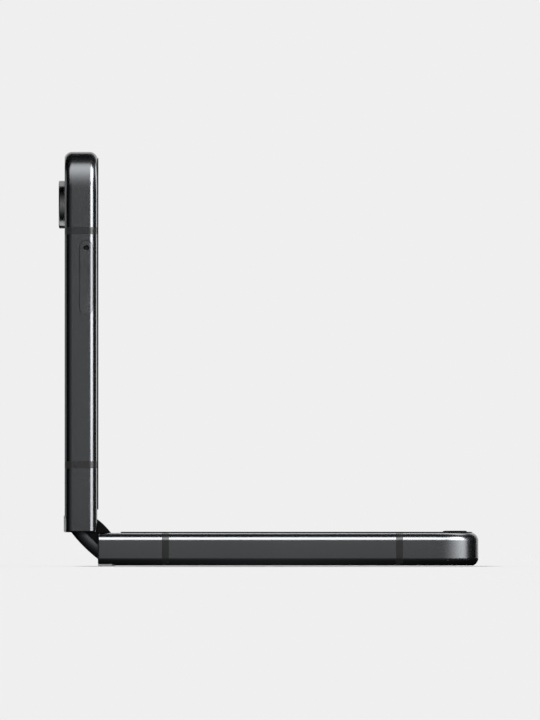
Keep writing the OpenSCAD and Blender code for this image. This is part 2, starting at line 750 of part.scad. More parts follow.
// Rubber seal round the neck of the card tray
module sim_tray_seal() color("#202122") on_upper() translate([tray_at, 0, -tray_t])
    across(-width / 2 + tray_face + 0.1, -width / 2 + 1.9) difference() {
        square([14.1, 1.05], center = true);
        square([13.6, 0.7], center = true);
    }

// Metal cage that takes the tray
module sim_socket() color("#b1b4b8") on_upper() difference() {
    translate([tray_at - 7.8, -width / 2 + wall, -3.35]) cube([15.6, 16, 3.35 - room_top]);
    translate([tray_at - 7.3, -width / 2, -3.1]) cube([14.6, 17.4, 3.1 - room_top - 0.15]);
    for (i = [-1, 0, 1]) translate([tray_at + i * 4.4, -width / 2 + 9, -4]) cube([2.4, 7, 1.2], center = true);
}

module earpiece() color("#232427") on_upper() {
    slab(half_len - 4.1, 0, 3.6, 13, 3.2, 5.6, 0.5);
    slab(half_len - 2.55, 0, 0.9, 9, room_top + 0.3, 3.3, 0.3);
}

module front_camera() color("#101114") on_upper() {
    slab(front_cam_x - 0.6, 0, 5.4, 5.6, room_top + 0.85, 3.15, 0.6);
    translate([front_cam_x, 0, -2.6]) cylinder(d = 3.9, h = 1.6);
    translate([front_cam_x, 0, -1.05]) cylinder(d = 3.3, h = 0.85);
}

// Keys: a cap with round ends in the frame wall, held by a wider flange behind it
key_t = 3.45;
key_out = 0.28;
side_key_out = 0.12;
module key_body(at, len, out) translate([at, 0, -key_t]) difference() {
    union() {
        across(width / 2 - 2.75, width / 2 + out) pill(len, key_h);
        across(width / 2 - 2.75, width / 2 - 2.3) pill(len + 0.9, key_h + 0.9);
    }
    // the cap's outer edge is chamfered along its length
    for (side = [-1, 1]) translate([-len, width / 2 + out, side * key_h / 2]) rotate([45, 0, 0])
        cube([2 * len, 0.2, 0.2]);
}
// The volume rocker tips on a half-round rib across its back
module volume_key() color(graphite) on_upper() {
    key_body(volume_at, volume_len, key_out);
    translate([volume_at, width / 2 - 2.75, -key_t - key_h / 2]) cylinder(r = 0.35, h = key_h);
}

module side_key() color("#1b1c1e") on_upper() key_body(side_key_at, side_key_len, side_key_out);

// Flex strip with the domes that the keys press
module key_flex() color("#8a5a20") on_upper() translate([0, width / 2 - 3.6, -key_t]) {
    translate([side_key_at - 7, 0, -1.2]) cube([volume_at - side_key_at + 17, 0.25, 2.4]);
    for (at = [side_key_at, volume_at - 6, volume_at + 6]) translate([at, 0.2, 0])
        rotate([-90, 0, 0]) cylinder(r1 = 1, r2 = 0.6, h = 0.2);
}

module vibration_motor() color("#9fa2a6") on_upper() slab(21, 30.4, 9, 4, room_top, 4.8, 0.6);

module upper_screws() color("#c2c5c9") on_upper() {
    bracket_screws();
    translate([76.2, -28.6, -room_top - 0.8]) screw(1.4, 1.4, 0.8);
    translate([50, -13, -room_top - 0.8]) screw(1.4, 1.4, 0.8);
}

lower_frame();
lower_back_cover();
lower_bezel();
lower_bumpers();
lower_antenna_bands();
lower_display();
lower_hinge_brackets();
lower_battery();
charging_coil();
lower_board();
usb_port();
loudspeaker();
lower_screws();
lower_magnets();
lower_hinge_arms();
lower_wing_plate();
spine_cover();
hinge_bases();
hinge_shafts();
torque_springs();
fold_end_caps();
spine_rail();
spine_screws();
display_fold();
fold_flex_cables();
lower_idler_gears();
upper_idler_gears();
upper_hinge_arms();
upper_wing_plate();
upper_frame();
upper_back_cover();
cover_display();
upper_bezel();
upper_antenna_bands();
upper_display();
upper_hinge_brackets();
camera_rings();
camera_lenses();
camera_modules();
flash_led();
main_board();
board_shields();
upper_battery();
sim_socket();
earpiece();
front_camera();
key_flex();
vibration_motor();
upper_screws();
upper_magnets();
sim_tray();
sim_tray_seal();
volume_key();
side_key();
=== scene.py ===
from math import asin, cos, dist, pi, radians, sin, sqrt, tan, tau

import bmesh
import bpy
from mathutils import Matrix, Vector


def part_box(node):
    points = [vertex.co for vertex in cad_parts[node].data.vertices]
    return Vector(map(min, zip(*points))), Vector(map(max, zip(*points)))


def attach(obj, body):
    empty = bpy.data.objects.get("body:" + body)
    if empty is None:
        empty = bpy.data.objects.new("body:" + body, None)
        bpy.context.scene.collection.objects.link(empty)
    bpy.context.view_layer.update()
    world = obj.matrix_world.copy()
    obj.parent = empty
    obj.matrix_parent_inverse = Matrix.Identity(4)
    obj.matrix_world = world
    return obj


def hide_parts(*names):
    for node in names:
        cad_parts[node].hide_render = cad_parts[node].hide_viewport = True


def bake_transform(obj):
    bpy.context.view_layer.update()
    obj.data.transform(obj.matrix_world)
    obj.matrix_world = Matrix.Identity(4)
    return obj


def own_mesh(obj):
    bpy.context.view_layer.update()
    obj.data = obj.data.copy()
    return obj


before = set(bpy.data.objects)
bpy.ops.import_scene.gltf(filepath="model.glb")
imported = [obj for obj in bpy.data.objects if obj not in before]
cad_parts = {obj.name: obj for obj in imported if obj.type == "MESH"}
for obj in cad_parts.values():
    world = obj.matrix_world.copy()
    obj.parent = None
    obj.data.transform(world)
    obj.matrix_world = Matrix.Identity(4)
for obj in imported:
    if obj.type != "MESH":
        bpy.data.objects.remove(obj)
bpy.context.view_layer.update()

# Camera
# A long lens far off, square to the phone's side, as high as the fold. It looks slightly up and
# to the right, so that the whole right angle stands in the middle of the picture.
MM = 0.001
lower_lo, lower_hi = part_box("lower_frame")
upper_lo, upper_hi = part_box("upper_frame")
fold = Vector(((lower_lo.x + upper_hi.x) / 2, 0, (lower_hi.z + upper_lo.z) / 2))
side_y = lower_lo.y
camera_distance = 5.4
picture_height = 155.64 * MM
middle_right, middle_up = 37.27 * MM, 37.31 * MM


def new_object(name, data):
    made = bpy.data.objects.new(name, data)
    bpy.context.scene.collection.objects.link(made)
    return made


camera_data = bpy.data.cameras.new("camera")
camera_data.sensor_fit = "AUTO"
camera_data.sensor_width = 36
camera_data.lens = camera_data.sensor_width * camera_distance / picture_height
camera_data.clip_start = 0.1
camera_data.clip_end = 200
camera = new_object("camera", camera_data)
camera.location = (fold.x, side_y - camera_distance, fold.z)
picture_middle = Vector((fold.x + middle_right, side_y, fold.z + middle_up))
camera.rotation_euler = (picture_middle - camera.location).to_track_quat("-Z", "Y").to_euler()
bpy.context.scene.camera = camera
bpy.context.scene.view_settings.view_transform = "Standard"

# Floor, backdrop and key light
# A pale floor under a pale even backdrop. A broad soft key stands behind the phone to the left,
# so the shadow falls towards the camera and the near side is lit by what it mirrors.
pale = (0.863, 0.863, 0.863, 1)
ambient = 0.35
key_direction = Vector((-0.42, 0.55, 0.72)).normalized()
key_share = 1 - ambient * pale[0]
floor_reach = 80


def feed(tree, made, inputs):
    """Gives each of a node's inputs a value, or the output of another node."""
    for name, value in inputs.items():
        if isinstance(value, bpy.types.NodeSocket):
            tree.links.new(value, made.inputs[name])
        else:
            made.inputs[name].default_value = value


def add(tree, kind, inputs=None, **settings):
    """Adds a node with its settings and inputs."""
    made = tree.nodes.new(kind)
    for name, value in settings.items():
        setattr(made, name, value)
    feed(tree, made, inputs or {})
    return made


def maths(tree, operation, *values):
    """Result of one operation on values, or on outputs of nodes."""
    return add(tree, "ShaderNodeMath", dict(enumerate(values)), operation=operation).outputs[0]


floor_corners = [(x * floor_reach, y * floor_reach, 0) for x, y in ((-1, -1), (1, -1), (1, 1), (-1, 1))]
floor_mesh = bpy.data.meshes.new("floor")
floor_mesh.from_pydata(floor_corners, [], [(0, 1, 2, 3)])
floor = new_object("floor", floor_mesh)
floor_paint = bpy.data.materials.new("floor_paint")
floor_paint.use_nodes = True
tree = floor_paint.node_tree
tree.nodes.clear()
matt = add(tree, "ShaderNodeBsdfDiffuse", {"Color": pale})
add(tree, "ShaderNodeOutputMaterial", {"Surface": matt.outputs[0]})
floor_mesh.materials.append(floor_paint)

world = bpy.data.worlds.new("studio")
bpy.context.scene.world = world
world.use_nodes = True
tree = world.node_tree
tree.nodes.clear()
ray = add(tree, "ShaderNodeLightPath").outputs
seen = maths(tree, "MAXIMUM", ray["Is Camera Ray"], ray["Is Glossy Ray"])
seen = maths(tree, "MAXIMUM", seen, ray["Is Transmission Ray"])
strength = add(tree, "ShaderNodeMapRange", {"Value": seen, "To Min": ambient, "To Max": 1})
backdrop = add(tree, "ShaderNodeBackground", {"Color": pale, "Strength": strength.outputs[0]})
add(tree, "ShaderNodeOutputWorld", {0: backdrop.outputs[0]})

key_data = bpy.data.lights.new("key", "SUN")
key_data.angle = radians(30)
key_data.energy = key_share * pi / key_direction.z
key = new_object("key", key_data)
key.rotation_euler = (-key_direction).to_track_quat("-Z", "Y").to_euler()
key.visible_glossy = False

# Metal frames
# Each half has a milled aluminium frame, anodised dark grey: a wall round both sides and the far
# end, a shelf under the screen, a divider before the hinge and a strip across the fold end.
half_len = (lower_hi.x - lower_lo.x) / MM
half_w = lower_hi.y / MM
thick = 7.06
corner_r = 10.0
edge_r = 1.8
front_drop = 1.7
back_drop = 1.65
wall = 1.95
end_round = 0.35
glass_inset = 1.3
glass_t = 0.6
lip_h = (lower_hi.z - lower_lo.z) / MM - thick
lip_len, lip_r, lip_sunk = 3.6, 0.8, 0.4
lip_end = half_w - 0.62
shelf = 0.85
shelf_t = 0.8
shelf_low = shelf + shelf_t
cavity_len = 7.0
cavity_floor = 6.33
cavity_half = half_w - 1.2
divider_t = 0.8
cap_cut = 4.7
bands = (14.6, half_len - 17.2)
band_w = 1.53
overlap = 0.1
arc_steps = 14
corner_steps = 40
quarter = pi / 2
sharp_angle = radians(28)
halves = ("lower", "upper")
bodies = {"lower": "lower_half", "upper": "upper_half", "spine": "hinge_spine"}


def seat(part, l, y, h):
    """A point of a part at its place in the phone. A half is drawn lying on its back, its fold end
    at l = 0 and its inner face at h = 0, and the spine with l across the fold and h up into it."""
    if part == "lower":
        return Vector((lower_lo.x + l * MM, y * MM, lower_hi.z + h * MM))
    if part == "upper":
        return Vector((upper_hi.x + h * MM, y * MM, upper_lo.z + l * MM))
    slant = sqrt(0.5) * MM
    return Vector((fold.x + (h + l) * slant, y * MM, fold.z + (h - l) * slant))


def gather(*shapes):
    """Joins shapes, each a list of points and a list of faces, into one."""
    points, faces = [], []
    for shape_points, shape_faces in shapes:
        faces += [tuple(i + len(points) for i in face) for face in shape_faces]
        points += shape_points
    return points, faces


def loft(rings, closed=False):
    """Skin over rings of equal count. The ends are capped, or joined where closed."""
    count = len(rings[0])
    points = [point for ring in rings for point in ring]
    faces = []
    for k in range(len(rings) if closed else len(rings) - 1):
        a, b = k * count, (k + 1) % len(rings) * count
        faces += [(a + i, a + (i + 1) % count, b + (i + 1) % count, b + i) for i in range(count)]
    if not closed:
        faces += [tuple(range(count)), tuple(range(len(points) - count, len(points)))]
    return points, faces


def block(l0, l1, y0, y1, h0, h1):
    return loft([[(l, y0, h0), (l, y1, h0), (l, y1, h1), (l, y0, h1)] for l in (l0, l1)])


def as_object(name, shape):
    """A mesh object with its faces turned outwards."""
    mesh = bpy.data.meshes.new(name)
    mesh.from_pydata(shape[0], [], shape[1])
    merged = bmesh.new()
    merged.from_mesh(mesh)
    bmesh.ops.remove_doubles(merged, verts=merged.verts, dist=1e-5)
    bmesh.ops.recalc_face_normals(merged, faces=merged.faces)
    merged.to_mesh(mesh)
    merged.free()
    return new_object(name, mesh)


def settle(made):
    """Turns what the modifiers give into a plain mesh and drops them."""
    graph = bpy.context.evaluated_depsgraph_get()
    mesh = bpy.data.meshes.new_from_object(made.evaluated_get(graph))
    made.modifiers.clear()
    made.data = mesh


def carve(made, shape, operation="DIFFERENCE"):
    tool = as_object("tool", shape)
    cut = made.modifiers.new("carve", "BOOLEAN")
    cut.operation = operation
    cut.solver = "EXACT"
    cut.object = tool
    settle(made)
    bpy.data.objects.remove(tool)


def mount(made, part, material, slot, *nodes, body=None, blended=False):
    """Moves a piece from its drawing to its part, shades it smooth between sharp edges, gives it its
    material and its body, and hides the CAD nodes it stands for. A blended piece is given no body.
    The slot is not used."""
    for vertex in made.data.vertices:
        vertex.co = seat(part, *vertex.co)
    if part == "upper":
        made.data.flip_normals()
    made.data.polygons.foreach_set("use_smooth", [True] * len(made.data.polygons))
    made.data.set_sharp_from_angle(angle=sharp_angle)
    made.modifiers.new("even", "WEIGHTED_NORMAL").keep_sharp = True
    settle(made)
    if not made.data.materials:
        made.data.materials.append(material)
    if not blended:
        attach(made, body or bodies[part])
    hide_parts(*nodes)


def angles(first, last, steps):
    """Evenly spaced angles, the first and the last among them."""
    return [first + (last - first) * k / steps for k in range(steps + 1)]


def stations():
    """Places along the wall, from one fold end round the far end to the other. Each is a pair: how
    far the outline is drawn in there, and a function from an inset and a height to a point."""
    centre = half_len - corner_r
    found = []
    for side in (-1, 1):
        run = []
        for a in angles(quarter, 0, 6):
            run.append((end_round * (1 - cos(a)), lambda p, h, a=a, side=side: (
                end_round * (1 - sin(a)), side * (half_w - p), h)))
        for a in angles(0, quarter, corner_steps):
            run.append((0.0, lambda p, h, a=a, side=side: (
                centre + (corner_r - p) * sin(a),
                side * (half_w - corner_r + (corner_r - p) * cos(a)), h)))
        found.append(run)
    return found[0] + found[1][::-1]


def edge_points(drawn_in, inner):
    """Outside of the wall cut across: flat face, rounding, flat side, rounding, back."""
    r = edge_r - drawn_in
    top = asin((front_drop - drawn_in) / r)
    low = asin((back_drop - drawn_in) / r)
    return [(inner, -drawn_in)] + [
        (edge_r - r * cos(a), -front_drop + r * sin(a)) for a in angles(top, 0, arc_steps)] + [
        (edge_r - r * cos(a), -thick + back_drop - r * sin(a)) for a in angles(0, low, arc_steps)]


def wall_points(drawn_in):
    seat_h = -thick + glass_t
    return edge_points(drawn_in, wall) + [
        (glass_inset, -thick + drawn_in), (glass_inset, seat_h), (wall, seat_h)]


def plan_outline(inset, start, steps=24):
    """Outline of a half seen from above, held back from the edge by inset."""
    r = corner_r - inset
    arc = [(half_len - corner_r + r * sin(a), half_w - corner_r + r * cos(a))
           for a in angles(0, quarter, steps)]
    edge = [(start, half_w - inset)] + arc
    return [(l, -y) for l, y in edge] + edge[::-1]


def plate(outline, h0, h1):
    return loft([[(l, y, h) for l, y in outline] for h in (h0, h1)])


def pill(length, height, steps=12):
    """Outline with round ends about its middle. It is called with how much it grows."""
    def outline(grow):
        r = height / 2 + grow
        return [(side * ((length - height) / 2 + r * cos(a)), side * r * sin(a))
                for side in (1, -1) for a in angles(-quarter, quarter, steps)]
    return outline


def stacked(outline, layers, spot):
    """Solid between outlines drawn at several depths, each grown by its layer's amount."""
    return loft([[spot(u, v, depth) for u, v in outline(grow)] for depth, grow in layers])


def on_side(side, at, h):
    """Spots on a side wall: along it, up it, and in from its face."""
    return lambda u, v, depth: (at + u, side * (half_w - depth), h + v)


def on_far_end(y, h):
    return lambda u, v, depth: (half_len - depth, y + u, h + v)


def on_inner_face(at, y):
    return lambda u, v, depth: (at + u, y + v, -depth)


def on_back(at, y):
    return lambda u, v, depth: (at + u, y + v, -thick + depth)


def hole(depth, flare):
    """Layers of a hole whose mouth is broken by a small flare."""
    return ((-1.0, flare), (0.0, flare), (flare, 0.0), (depth, 0.0))


mid_depth = -thick / 2
through = 3.0
socket = pill(8.34, 2.56)
socket_layers = ((-1.0, 0.2), (0.0, 0.2), (0.2, 0.0), (0.38, 0.0), (0.38, 0.3), (8.0, 0.3))
microphone = pill(0.9, 0.9)
speaker_slot, first_slot_y, slot_pitch = pill(1.7, 1.1), 14, 2.6
slit_from, slit_to, slit_half = half_len - 2.6, half_len - 1.4, 5
earpiece_slit = block(slit_from, slit_to, -slit_half, slit_half, -shelf_low - 0.5, 1)
tray_at, tray_depth = 55.05, -2.4
slot_half, slot_half_h = 7.25, 0.62
tray_slot = block(tray_at - slot_half, tray_at + slot_half, -half_w + 0.5, -half_w + wall + 1,
                  tray_depth - slot_half_h, tray_depth + slot_half_h)
volume_at, side_key_at, key_depth = 53.5, 34.5, -3.45
volume_len, side_key_len, key_h, key_gap = 19.0, 12.5, 2.3, 0.1
front_camera_at, front_camera_hole = half_len - 6.4, pill(4.2, 4.2, 24)
module_y, module_half, module_low = 22.0, 6.2, 3.5
flex_window = (-7, 7, -4.2, -2.6)

frame_cuts = {
    "lower": [
        stacked(socket, socket_layers, on_far_end(0, mid_depth)),
        stacked(microphone, hole(through, 0.06), on_far_end(-10, mid_depth)),
        *[stacked(speaker_slot, hole(through, 0.08), on_far_end(first_slot_y + slot_pitch * k, mid_depth))
          for k in range(5)],
    ],
    "upper": [
        stacked(pill(16.02, 2.93), hole(1.05, 0.07), on_side(-1, tray_at, tray_depth)),
        *[stacked(pill(length + 2 * key_gap, key_h + 2 * key_gap), hole(through, 0.08),
                  on_side(1, at, key_depth))
          for length, at in ((volume_len, volume_at), (side_key_len, side_key_at))],
        stacked(front_camera_hole, hole(through, 0.1), on_inner_face(front_camera_at, 0)),
        stacked(microphone, hole(through, 0.06), on_far_end(-20, mid_depth)),
        earpiece_slit,
    ],
}


def lip_shape():
    """The strip that stands a little proud of the back at the fold end, its free corners round."""
    low = -thick - lip_h
    nose = [(end_round * (1 - sin(a)), lip_end, low + end_round * (1 - cos(a)))
            for a in angles(quarter, 0, 6)]
    corner = [(lip_len - lip_r + lip_r * sin(a), lip_end - lip_r + lip_r * cos(a), low)
              for a in angles(0, quarter, 8)]
    sunk = -thick + lip_sunk
    return loft([[(l, -y, h), (l, y, h), (l, y, sunk), (l, -y, sunk)] for l, y, h in nose + corner])


def frame_shape(half):
    made = as_object(half + "_frame_body", loft([
        [point(p, h) for p, h in wall_points(drawn_in)] for drawn_in, point in stations()]))
    divider = (cavity_len, cavity_len + divider_t)
    strip_from, into_wall = 0.04, half_w - 1
    carve(made, plate(plan_outline(wall - overlap, cavity_len), -shelf_low, -shelf), "UNION")
    carve(made, block(*divider, -into_wall, into_wall, -thick + glass_t, overlap - shelf_low), "UNION")
    carve(made, block(-1, cap_cut, -cavity_half, cavity_half, -cavity_floor, 1))
    carve(made, block(-1, cavity_len, -cavity_half, cavity_half, -cavity_floor, -shelf))
    carve(made, block(strip_from, lip_len, -into_wall, into_wall, -thick, -cavity_floor), "UNION")
    carve(made, lip_shape(), "UNION")
    across = (divider[0] - 1, divider[1] + 1)
    windows = [block(*across, side * module_y - module_half, side * module_y + module_half,
                     -module_low, -shelf_low) for side in (-1, 1)]
    slots = [block(at - band_w / 2, at + band_w / 2, side * (half_w - glass_inset), side * (half_w + 4),
                   -thick - 1, 1) for at in bands for side in (-1, 1)]
    carve(made, gather(*windows, block(*across, *flex_window), *slots, *frame_cuts[half]))
    if half == "upper":
        carve(made, tray_slot)
    return made


def finish(name, colour, metallic=0.0, rough=0.4, grain=0.12, relief=0.0015, mottle=8.0,
           spread=0.015, tint=0.02, stretch=(1, 1, 1), coat=0.0, coat_rough=0.1, specular=0.5,
           along=None):
    """A surface with a fine grain, and slow changes of roughness and shade across it. The grain
    lies on the object's own coordinates, or on an attribute that follows the piece's shape."""
    made = bpy.data.materials.new(name)
    made.use_nodes = True
    tree = made.node_tree
    where = add(tree, "ShaderNodeTexCoord").outputs["Object"]
    way = add(tree, "ShaderNodeAttribute", attribute_name=along).outputs["Vector"] if along else where
    turn = add(tree, "ShaderNodeMapping", {"Vector": way, "Scale": stretch})
    fine = add(tree, "ShaderNodeTexNoise", {
        "Vector": turn.outputs[0], "Scale": 1 / (grain * MM), "Detail": 3}).outputs["Fac"]
    slow = add(tree, "ShaderNodeTexNoise", {
        "Vector": where, "Scale": 1 / (mottle * MM), "Detail": 2}).outputs["Fac"]
    bump = add(tree, "ShaderNodeBump", {"Height": fine, "Strength": 1, "Distance": relief * MM})
    gloss = add(tree, "ShaderNodeMapRange", {
        "Value": slow, "From Min": 0.3, "From Max": 0.7,
        "To Min": max(rough - spread, 0.01), "To Max": rough + spread})
    shades = add(tree, "ShaderNodeMix", {
        "Factor": slow, "A": (*[c * (1 - tint) for c in colour], 1),
        "B": (*[c * (1 + tint) for c in colour], 1)}, data_type="RGBA")
    feed(tree, tree.nodes["Principled BSDF"], {
        "Base Color": shades.outputs["Result"], "Roughness": gloss.outputs[0], "Normal": bump.outputs[0],
        "Metallic": metallic, "Specular IOR Level": specular, "Coat Weight": coat,
        "Coat Roughness": coat_rough})
    return made


frame_metal = finish("anodised_graphite", (0.144, 0.150, 0.157), metallic=1, rough=0.22, mottle=25,
                     spread=0.006, tint=0.01)
bare_metal = finish("bare_aluminium", (0.40, 0.41, 0.42), metallic=1, rough=0.3, stretch=(1, 0.1, 1),
                    mottle=20, spread=0.01)
metal_pieces = {half: [] for half in halves}


def is_bare(face):
    """The fold strip is cut after the anodising, so its outer face and its ends are bare metal."""
    at_end = abs(face.normal.y) > 0.9 and abs(abs(face.center.y) - lip_end) < 0.01
    return face.center.z < -thick - 0.004 or at_end


for half in halves:
    metal = frame_shape(half)
    metal.data.materials.append(frame_metal)
    metal.data.materials.append(bare_metal)
    for face in metal.data.polygons:
        face.material_index = int(is_bare(face))
    mount(metal, half, frame_metal, "frame_metal", half + "_frame")
    metal_pieces[half].append(metal)

# Antenna bands
# Dark grey plastic, moulded into four slots of each frame so that the metal walls can work as
# antennas. The bands follow the rounding of the wall and are machined flush with it.


def along_wall(outline, l0, l1, side):
    """Solid that keeps one cross-section along a side wall. Its points are insets and heights."""
    return loft([[(l, side * (half_w - p), h) for p, h in outline] for l in (l0, l1)])


band_plastic = finish("band_plastic", (0.030, 0.031, 0.033), rough=0.26, grain=0.08, spread=0.02)
band_outline = edge_points(0, glass_inset) + [(glass_inset, -thick)]
for half in halves:
    strips = as_object(half + "_antenna_strips", gather(*[
        along_wall(band_outline, at - band_w / 2, at + band_w / 2, side)
        for at in bands for side in (-1, 1)]))
    mount(strips, half, band_plastic, "band_plastic", half + "_antenna_bands")
    metal_pieces[half].append(strips)

# Hinge
# Two modules of sintered and turned steel: arms with gears, idlers, shafts, disc springs and
# housings on a rail. The brackets are screwed under the screen shelf of each half.


def dress(material, *nodes):
    """Gives CAD nodes a material in place of the one they came with."""
    for name in nodes:
        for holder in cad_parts[name].material_slots:
            holder.material = material


sintered = finish("sintered_steel", (0.40, 0.41, 0.42), metallic=1, rough=0.36, grain=0.07,
                  relief=0.003, mottle=2.5, spread=0.08, tint=0.08)
turned = finish("turned_steel", (0.56, 0.57, 0.58), metallic=1, rough=0.22, grain=0.05,
                relief=0.002, stretch=(0.3, 6, 0.3), spread=0.05, tint=0.05)
tempered = finish("tempered_steel", (0.36, 0.30, 0.21), metallic=1, rough=0.3, grain=0.06,
                  relief=0.002, mottle=1.5, spread=0.06, tint=0.25)
nickel = finish("nickel_plate", (0.60, 0.59, 0.56), metallic=1, rough=0.2, grain=0.1, spread=0.06)
rolled = finish("rolled_sheet", (0.33, 0.34, 0.35), metallic=1, rough=0.3, grain=0.09,
                relief=0.002, stretch=(1, 0.08, 1), spread=0.05, tint=0.06)
dress(sintered, "lower_hinge_arms", "upper_hinge_arms", "lower_hinge_brackets", "upper_hinge_brackets",
      "hinge_bases", "lower_idler_gears", "upper_idler_gears")
dress(turned, "hinge_shafts", "lower_screws", "upper_screws", "spine_screws")
dress(tempered, "torque_springs")
dress(rolled, "spine_rail", "lower_wing_plate", "upper_wing_plate")
dress(nickel, "lower_magnets", "upper_magnets")

# Boards and cans
# Green circuit boards carry the chips under cans of tinned sheet. The card socket and the
# charging socket are pressed steel, soldered on at the edge.
board_green = finish("board_green", (0.012, 0.075, 0.042), rough=0.28, grain=0.9, relief=0.02,
                     mottle=0.8, spread=0.1, tint=0.45, coat=0.5)
tinned = finish("tinned_sheet", (0.62, 0.63, 0.64), metallic=1, rough=0.34, grain=0.14,
                relief=0.002, mottle=3.0, spread=0.08, tint=0.05)
dress(board_green, "lower_board", "main_board")
dress(tinned, "board_shields", "sim_socket", "usb_port", "vibration_motor")

# Batteries
# A pouch cell in each half, wrapped in dark film and glued to the screen shelf, with its small
# connector beside it.
cell_wrap = finish("cell_wrap", (0.030, 0.032, 0.036), rough=0.32, grain=0.5, relief=0.01,
                   mottle=6.0, spread=0.1, tint=0.15)
dress(cell_wrap, "lower_battery", "upper_battery")

# Modules
# Black moulded housings: loudspeaker, earpiece and the two rear camera modules. They are dropped
# into their pockets and held by the boards.
moulded = finish("moulded_black", (0.016, 0.016, 0.018), rough=0.42, grain=0.12, relief=0.004,
                 mottle=4.0, spread=0.06, tint=0.1)
dress(moulded, "loudspeaker", "earpiece", "camera_modules")

# Charging coil
# One flat spiral of enamelled copper wire behind the lower back glass, for charging without a
# cable. It is wound on a former and glued down.
coil_at, coil_depth = 38.0, 6.15
coil_sizes = {"Turns": 22.0, "Inner radius": 9.2, "Outer radius": 20.8, "Wire radius": 0.19}


def grown(name, draw, sizes, material, points=(), edges=()):
    """Runs a tree of geometry nodes, which draw() fills, and keeps the plain mesh that comes out."""
    tree = bpy.data.node_groups.new(name, "GeometryNodeTree")
    tree.interface.new_socket("Geometry", in_out="INPUT", socket_type="NodeSocketGeometry")
    for label, size in sizes.items():
        kind = "NodeSocketInt" if isinstance(size, int) else "NodeSocketFloat"
        tree.interface.new_socket(label, in_out="INPUT", socket_type=kind)
    tree.interface.new_socket("Geometry", in_out="OUTPUT", socket_type="NodeSocketGeometry")
    given = add(tree, "NodeGroupInput").outputs
    whole = add(tree, "GeometryNodeRealizeInstances", {0: draw(tree, given)})
    painted = add(tree, "GeometryNodeSetMaterial", {"Geometry": whole.outputs[0], "Material": material})
    add(tree, "NodeGroupOutput", {0: painted.outputs[0]})
    mesh = bpy.data.meshes.new(name)
    mesh.from_pydata(list(points), list(edges), [])
    made = new_object(name, mesh)
    run = made.modifiers.new("grow", "NODES")
    run.node_group = tree
    for socket in tree.interface.items_tree:
        if socket.in_out == "INPUT" and socket.name in sizes:
            run[socket.identifier] = sizes[socket.name]
    settle(made)
    return made


def swept(tree, curve, profile):
    """Draws a profile along a curve and closes its ends."""
    return add(tree, "GeometryNodeCurveToMesh", {
        "Curve": curve, "Profile Curve": profile, "Fill Caps": True}).outputs[0]


def draw_coil(tree, given):
    spiral = add(tree, "GeometryNodeCurveSpiral", {
        "Resolution": 40, "Rotations": given["Turns"], "Height": 0,
        "Start Radius": given["Inner radius"], "End Radius": given["Outer radius"]})
    wire = add(tree, "GeometryNodeCurvePrimitiveCircle", {"Resolution": 6, "Radius": given["Wire radius"]})
    return swept(tree, spiral.outputs[0], wire.outputs[0])


def move(made, spot):
    """Lays a mesh that was drawn flat, in u and v, at a spot of a half, its depth from its own z."""
    for vertex in made.data.vertices:
        vertex.co = spot(*vertex.co)


copper = finish("enamelled_copper", (0.62, 0.26, 0.12), metallic=1, rough=0.24, grain=0.2, mottle=2.0,
                spread=0.05, tint=0.15, coat=0.6)
coil = grown("coil_winding", draw_coil, coil_sizes, copper)
move(coil, lambda u, v, z: (coil_at + u, v, -coil_depth + z))
mount(coil, "lower", copper, "copper", "charging_coil")

# Flex cables
# Copper tracks between amber films. They cross the fold in the middle of the spine: flat ribbons
# lie in both halves, and a bend between them is drawn as one fixed quarter turn; in the real phone
# it flattens as the fold opens or shuts.
flex_y, flex_w = 3.4, 5.2
flex_r, flex_t = 3.06, 0.15
flex_reach = 13.79
fold_gap = (fold.x - upper_hi.x) / MM
flex_film = finish("amber_film", (0.34, 0.16, 0.035), rough=0.3, grain=0.5, relief=0.006,
                   stretch=(0.05, 1, 0.05), mottle=1.2, spread=0.06, tint=0.2, coat=0.4)
dress(flex_film, "key_flex")
flex_depth = flex_r - fold_gap
for half in halves:
    ribbons = as_object(half + "_ribbons", gather(*[
        block(-fold_gap, flex_reach, y - flex_w / 2, y + flex_w / 2, -flex_depth - flex_t, -flex_depth)
        for y in (-flex_y, flex_y)]))
    mount(ribbons, half, flex_film, "copper")


def across_fold(path, y0, y1):
    """Solid from an outline given as (across, up) in the spine's axes, run along the fold."""
    return loft([[(v, y, u) for v, u in path] for y in (y0, y1)])


def bend(centre, radius, steps=16):
    """Quarter turn round the fold, from the lower half's side to the upper's, as (across, up)."""
    return [(radius * sin(a), centre - radius * cos(a))
            for a in angles(quarter / 2, -quarter / 2, steps)]


flex_bend = as_object("fold_ribbons", gather(*[
    across_fold(bend(0, flex_r) + bend(0, flex_r + flex_t)[::-1], y - flex_w / 2, y + flex_w / 2)
    for y in (-flex_y, flex_y)]))
mount(flex_bend, "spine", flex_film, "copper", "fold_flex_cables")
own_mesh(flex_bend)

# Spine
# A drawn trough of anodised aluminium that covers the hinge: a shallow bulge with round shoulders.
# The hinge modules are screwed into it, and its ends roll over towards the side walls.
spine_half_w, spine_round = 6.0, 2.2
spine_out, spine_bulge_r = -4.25, 33.0
spine_seam, spine_lip, spine_floor = -1.79, -1.3, -3.45
spine_end, spine_end_wall = 34.25, 1.0
pocket_half, past_side, past_end = 5.2, 7.0, 35.0
roll_in, roll_along = 2.0, 0.9
seam_r, seam_play = 0.14, 0.05
shoulder_v = spine_half_w - spine_round
bulge_centre = spine_out + spine_bulge_r
shoulder_lean = asin(shoulder_v / (spine_bulge_r - spine_round))
shoulder_u = bulge_centre - (spine_bulge_r - spine_round) * cos(shoulder_lean)


